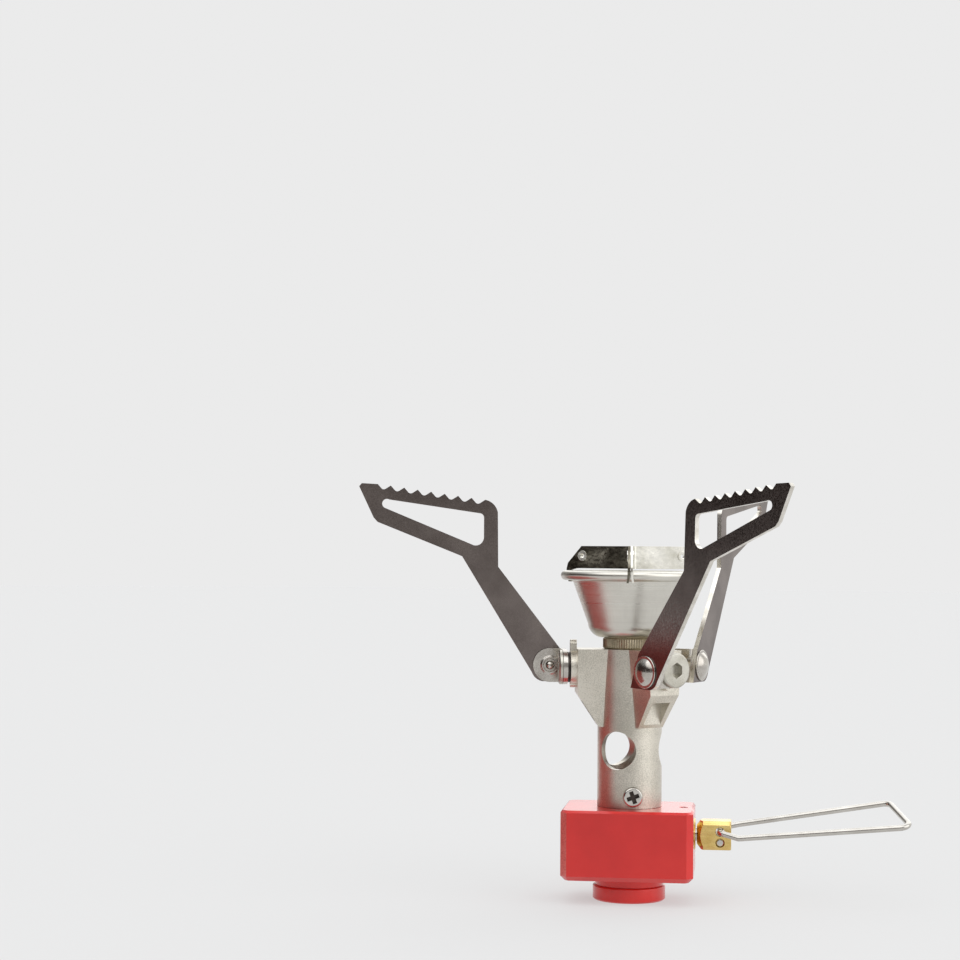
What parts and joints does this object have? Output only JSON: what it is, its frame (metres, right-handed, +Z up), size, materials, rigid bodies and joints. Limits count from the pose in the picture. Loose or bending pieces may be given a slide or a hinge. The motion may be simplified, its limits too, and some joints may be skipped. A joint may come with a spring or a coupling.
{
  "type": "canister stove",
  "caption": "Compact screw-on gas stove head: valve block with wire handle, mixing tube, burner cup with wind screen, and swivelling pot supports that fold down.",
  "frame": {"origin": "centre of the face that screws down on the canister, where the canister thread starts", "axes": "+Z up along the mixing tube, +X out of the block along the valve, -Y towards the block's front face"},
  "size_m": [0.1222, 0.1053, 0.0915],
  "materials": {
    "red_anodised": "satin red anodised",
    "blasted_alloy": "bead blasted",
    "neck_alloy": "fine turned, champagne anodised",
    "spun_steel": "spun, concentric brushing",
    "leaf_steel": "rolled sheet with heat tint",
    "arm_steel": "brown-grey rolled sheet, bright cut edges",
    "bracket_steel": "tumbled stainless",
    "screw_steel": "satin nickel",
    "dark_steel": "blackened spring steel",
    "bright_steel": "bright drawn stainless",
    "brass": "machined",
    "sintered_bronze": "sintered, matte",
    "seal_rubber": "nitrile, matte"
  },
  "bodies": {
    "stove_body": {"valve_block": "red_anodised", "canister_seal": "seal_rubber", "stem_oring": "seal_rubber", "opening_pin": "brass", "stem_gland": "brass", "gas_jet": "brass", "gas_filter": "sintered_bronze", "lock_pin": "bright_steel", "tube_screw": "bright_steel", "mixing_tube": "blasted_alloy", "burner_neck": "neck_alloy", "burner_cup": "spun_steel", "flame_plate": "spun_steel", "wind_leaf_1": "leaf_steel", "wind_leaf_2": "leaf_steel", "wind_leaf_3": "leaf_steel", "leaf_eyelets": "leaf_steel", "swivel_screw_front": "screw_steel", "swivel_washer_front": "dark_steel", "swivel_screw_left": "screw_steel", "swivel_washer_left": "dark_steel", "swivel_screw_back": "screw_steel", "swivel_washer_back": "dark_steel"},
    "needle": {"valve_needle": "bright_steel"},
    "knob": {"valve_head": "brass", "handle_pin": "bright_steel"},
    "handle": {"handle_wire": "bright_steel"},
    "swivel_front": {"swivel_bracket_front": "bracket_steel", "arm_rivet_front": "bracket_steel"},
    "arm_front": {"pot_arm_front": "arm_steel"},
    "swivel_left": {"swivel_bracket_left": "bracket_steel", "arm_rivet_left": "bracket_steel"},
    "arm_left": {"pot_arm_left": "arm_steel"},
    "swivel_back": {"swivel_bracket_back": "bracket_steel", "arm_rivet_back": "bracket_steel"},
    "arm_back": {"pot_arm_back": "arm_steel"}
  },
  "joints": [
    {"name": "valve_travel", "type": "slide", "parent": "stove_body", "child": "needle", "axis": [1, 0, 0], "range_m": [0, 0.00075]},
    {"name": "valve_turn", "type": "hinge", "parent": "needle", "child": "knob", "pos_m": [0.019, 0, 0.0145], "axis": [1, 0, 0], "range_deg": [0, 540]},
    {"name": "handle_fold", "type": "hinge", "parent": "knob", "child": "handle", "pos_m": [0.02, 0, 0.0154], "axis": [0, 1, 0], "range_deg": [-78, 20]},
    {"name": "swivel_front_turn", "type": "hinge", "parent": "stove_body", "child": "swivel_front", "pos_m": [0.00973, -0.01062, 0.0509], "axis": [0.6756, -0.7373, 0], "range_deg": [0, 180]},
    {"name": "arm_front_fold", "type": "hinge", "parent": "swivel_front", "child": "arm_front", "pos_m": [0.00498, -0.01876, 0.0509], "axis": [-0.7373, -0.6756, 0], "range_deg": [0, 16]},
    {"name": "swivel_left_turn", "type": "hinge", "parent": "stove_body", "child": "swivel_left", "pos_m": [-0.01422, -0.00225, 0.0509], "axis": [-0.9877, -0.1564, 0], "range_deg": [0, 180]},
    {"name": "arm_left_fold", "type": "hinge", "parent": "swivel_left", "child": "arm_left", "pos_m": [-0.0184, 0.0062, 0.0509], "axis": [-0.1564, 0.9877, 0], "range_deg": [0, 18]},
    {"name": "swivel_back_turn", "type": "hinge", "parent": "stove_body", "child": "swivel_back", "pos_m": [0.00516, 0.01344, 0.0509], "axis": [0.3584, 0.9336, 0], "range_deg": [0, 180]},
    {"name": "arm_back_fold", "type": "hinge", "parent": "swivel_back", "child": "arm_back", "pos_m": [0.01457, 0.01283, 0.0509], "axis": [0.9336, -0.3584, 0], "range_deg": [0, 30]}
  ],
  "couplings": [
    {"joint": "valve_travel", "follows": "valve_turn", "m_per_rad": 0.000079577}
  ]
}
